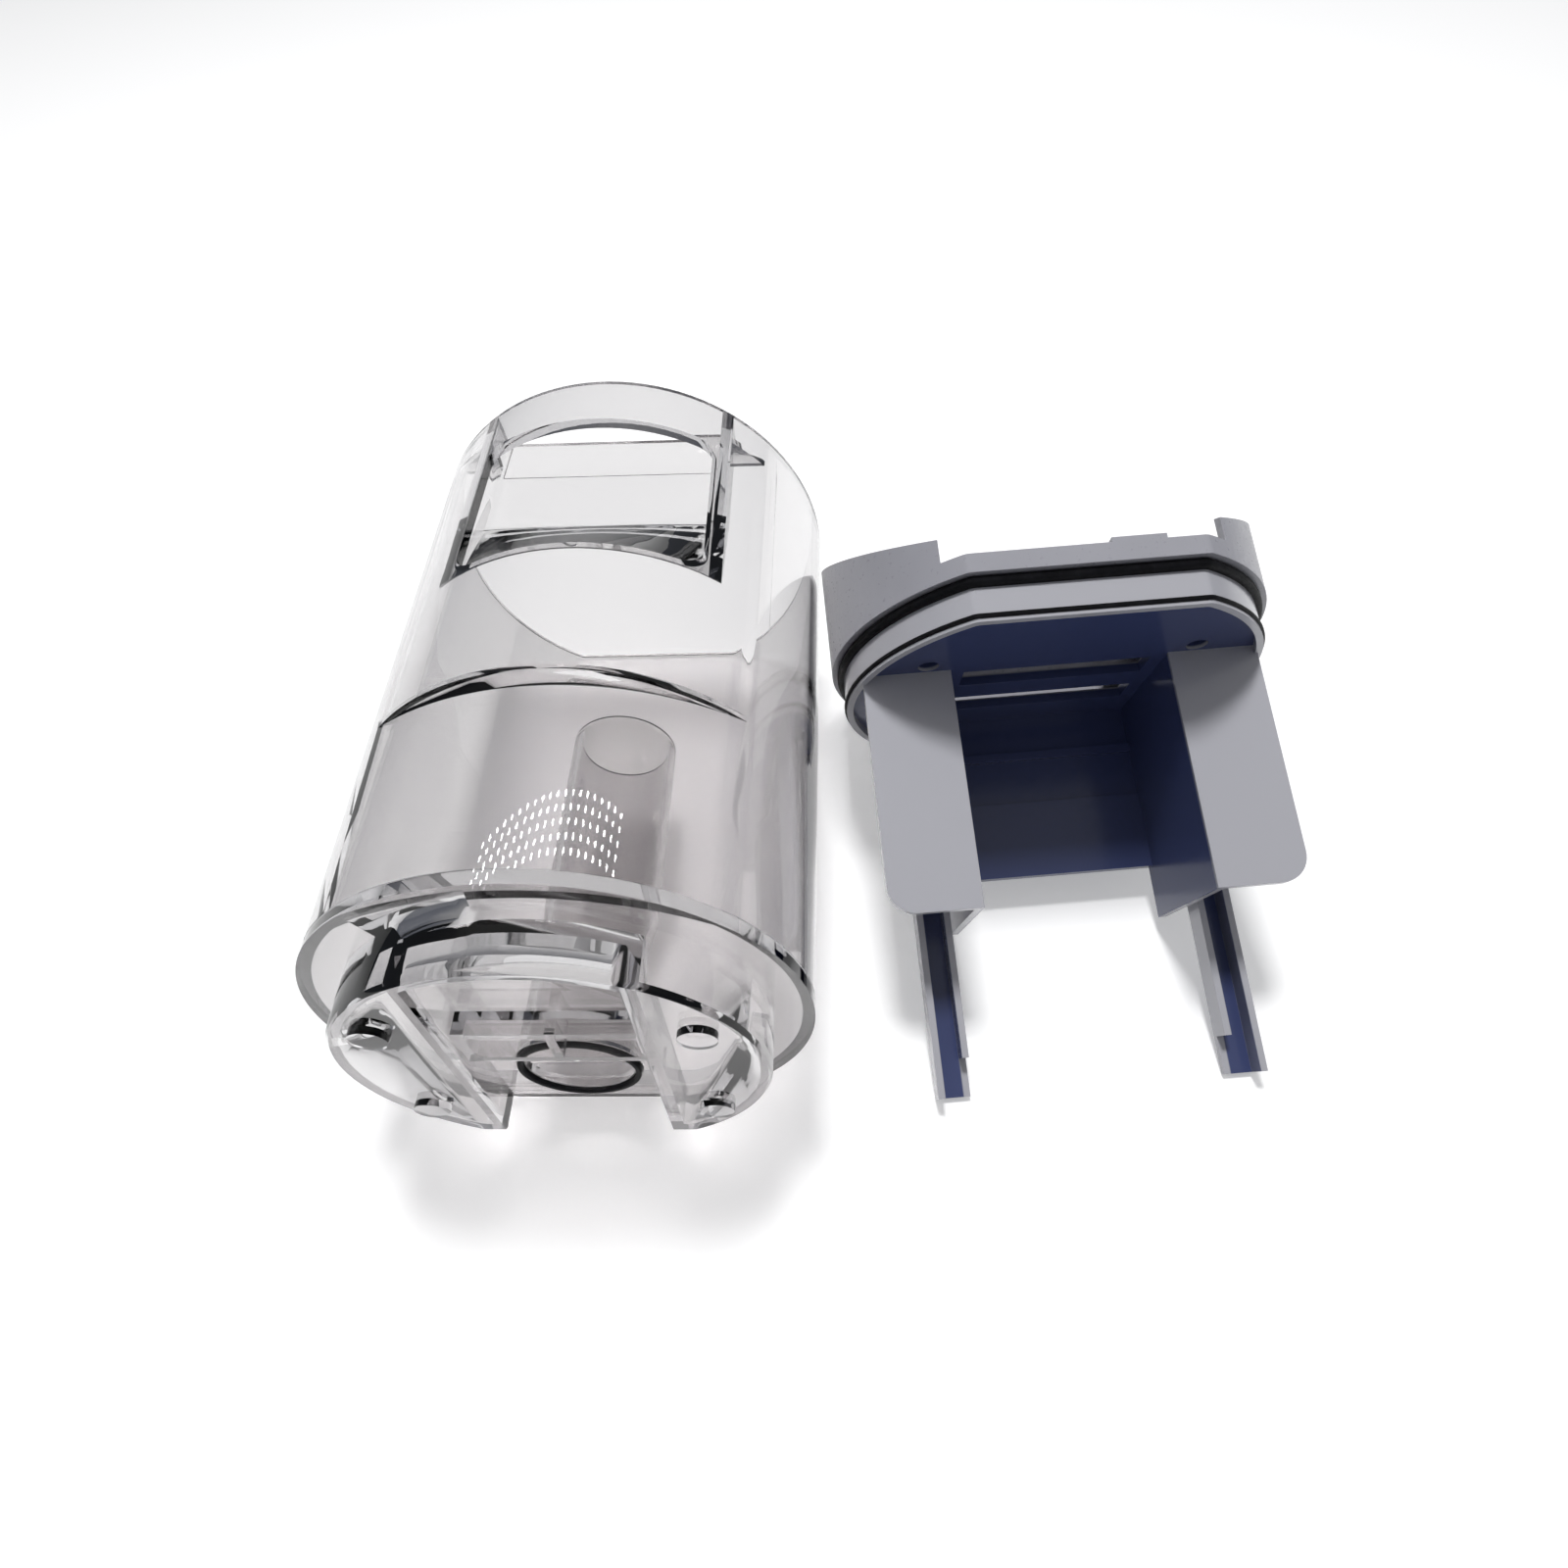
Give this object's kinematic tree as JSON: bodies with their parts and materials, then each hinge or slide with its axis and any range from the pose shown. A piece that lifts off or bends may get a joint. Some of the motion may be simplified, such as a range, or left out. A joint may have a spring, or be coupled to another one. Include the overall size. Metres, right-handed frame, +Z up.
{
  "type": "vacuum dirty water tank",
  "caption": "Clear smoky D-shaped tank with a handle window, stepped base and inlet duct, with its grey sealed lid insert beside it.",
  "frame": {"origin": "middle of the tank's flat back, on the surface that it lies on", "axes": "+Z up through the handle window, +Y along the tank's axis from its base to its rim, +X towards the lid"},
  "size_m": [0.2098, 0.1544, 0.0975],
  "materials": {
    "clear_smoke": "clear smoky gloss",
    "lid_grey": "satin moulded grey",
    "baffle_slate": "glossy dark slate",
    "black_rubber": "matt black rubber",
    "screw_steel": "zinc plated"
  },
  "bodies": {
    "root": {"tank_body": "clear_smoke", "tank_base": "clear_smoke", "inlet_duct": "clear_smoke", "inlet_seal": "black_rubber", "lid_cover": "lid_grey", "lid_base": "baffle_slate", "lid_seal": "black_rubber", "plug_seal": "black_rubber", "lid_screws": "screw_steel"}
  },
  "joints": []
}
